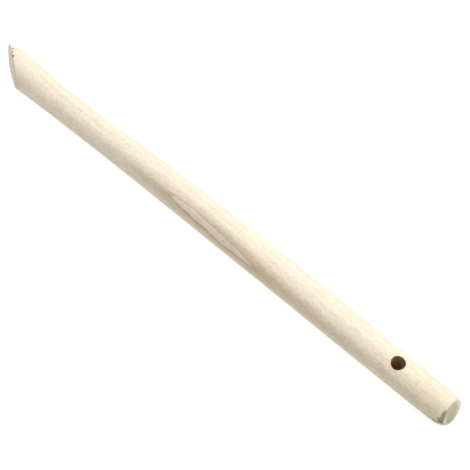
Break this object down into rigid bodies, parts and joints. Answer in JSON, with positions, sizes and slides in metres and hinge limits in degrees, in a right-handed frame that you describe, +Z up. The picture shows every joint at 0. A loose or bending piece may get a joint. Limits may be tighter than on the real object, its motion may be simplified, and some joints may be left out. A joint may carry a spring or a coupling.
{
  "type": "wooden muddler",
  "caption": "Long one-piece wooden muddler with a flared head cut off at a slant, a slim neck, a full middle and a drilled hanging hole near the grip end.",
  "frame": {"origin": "middle of the footprint, on the plane that the stick lies on", "axes": "+X along the stick, from the slanted head to the grip end with the hole; +Z up, along the hanging hole; the head's cut face looks towards -X and -Y"},
  "size_m": [0.3406, 0.0214, 0.0207],
  "materials": {
    "pale_wood": "sanded and unvarnished, with fine straight grain"
  },
  "bodies": {
    "root": {"muddler_stick": "pale_wood"}
  },
  "joints": []
}
